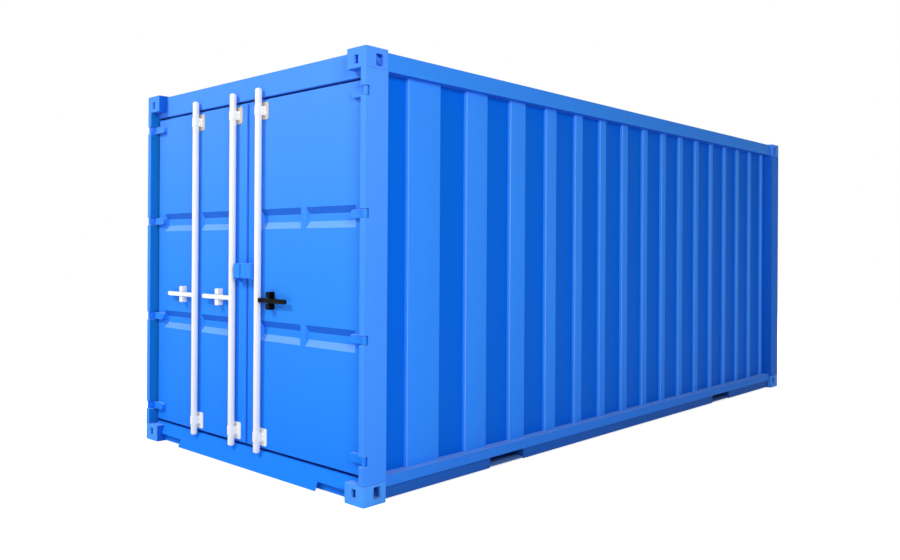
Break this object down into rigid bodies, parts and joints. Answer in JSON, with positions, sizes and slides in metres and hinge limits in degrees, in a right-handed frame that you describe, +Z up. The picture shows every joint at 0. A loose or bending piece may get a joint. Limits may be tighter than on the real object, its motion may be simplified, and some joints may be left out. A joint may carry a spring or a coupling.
{
  "type": "shipping container",
  "caption": "Dry freight container with fluted steel walls, two hinged end doors with turning lock bars, corner castings and fork pockets.",
  "frame": {"origin": "bottom centre of the outer box, on the plane that the four bottom castings stand on", "axes": "+X along the length away from the doors, +Y across the width towards the left door, +Z up"},
  "size_m": [6.058, 2.438, 2.591],
  "materials": {
    "blue_paint": "satin",
    "white_paint": "satin",
    "black_paint": "satin",
    "rubber_seal": "matte",
    "floor_plywood": "matte",
    "pin_steel": "brushed"
  },
  "bodies": {
    "root": {"corner_castings_top": "blue_paint", "corner_castings_bottom": "blue_paint", "door_header": "blue_paint", "door_sill": "blue_paint", "blind_top_rail": "blue_paint", "blind_bottom_rail": "blue_paint", "blind_end_wall": "blue_paint", "blind_posts": "blue_paint", "roof_panel": "blue_paint", "floor_boards": "floor_plywood", "cross_members": "blue_paint", "forklift_pockets": "blue_paint", "hinge_pins": "pin_steel", "left_door_post": "blue_paint", "right_door_post": "blue_paint", "left_top_rail": "blue_paint", "right_top_rail": "blue_paint", "left_bottom_rail": "blue_paint", "right_bottom_rail": "blue_paint", "left_side_wall": "blue_paint", "right_side_wall": "blue_paint"},
    "left_door": {"left_door_skin": "blue_paint", "left_door_stiles": "blue_paint", "left_door_rails": "blue_paint", "left_door_gasket": "rubber_seal", "left_door_hinges": "blue_paint", "left_bar_brackets": "white_paint", "left_bar_straps": "white_paint", "left_handle_retainers": "white_paint", "left_lock_keeper": "blue_paint"},
    "right_door": {"right_door_skin": "blue_paint", "right_door_stiles": "blue_paint", "right_door_rails": "blue_paint", "right_door_gasket": "rubber_seal", "right_door_hinges": "blue_paint", "right_bar_brackets": "white_paint", "right_bar_straps": "white_paint", "right_handle_retainers": "black_paint", "right_lock_box": "blue_paint"},
    "left_outer_lock": {"left_outer_bar": "white_paint", "left_outer_handle": "white_paint"},
    "left_inner_lock": {"left_inner_bar": "white_paint", "left_inner_handle": "white_paint"},
    "right_inner_lock": {"right_inner_bar": "white_paint", "right_inner_handle": "black_paint"}
  },
  "joints": [
    {"name": "left_door_hinge", "type": "hinge", "parent": "root", "child": "left_door", "pos_m": [-3.0145, 1.2045, 1.295], "axis": [0, 0, -1], "range_deg": [0, 270]},
    {"name": "right_door_hinge", "type": "hinge", "parent": "root", "child": "right_door", "pos_m": [-3.0145, -1.2045, 1.295], "axis": [0, 0, 1], "range_deg": [0, 270]},
    {"name": "left_outer_bar_turn", "type": "hinge", "parent": "left_door", "child": "left_outer_lock", "pos_m": [-2.9925, 0.602, 1.115], "axis": [0, 0, -1], "range_deg": [-105, 0]},
    {"name": "left_inner_bar_turn", "type": "hinge", "parent": "left_door", "child": "left_inner_lock", "pos_m": [-2.9925, 0.137, 1.115], "axis": [0, 0, -1], "range_deg": [-105, 0]},
    {"name": "right_inner_bar_turn", "type": "hinge", "parent": "right_door", "child": "right_inner_lock", "pos_m": [-2.9925, -0.154, 1.115], "axis": [0, 0, 1], "range_deg": [-105, 0]}
  ]
}
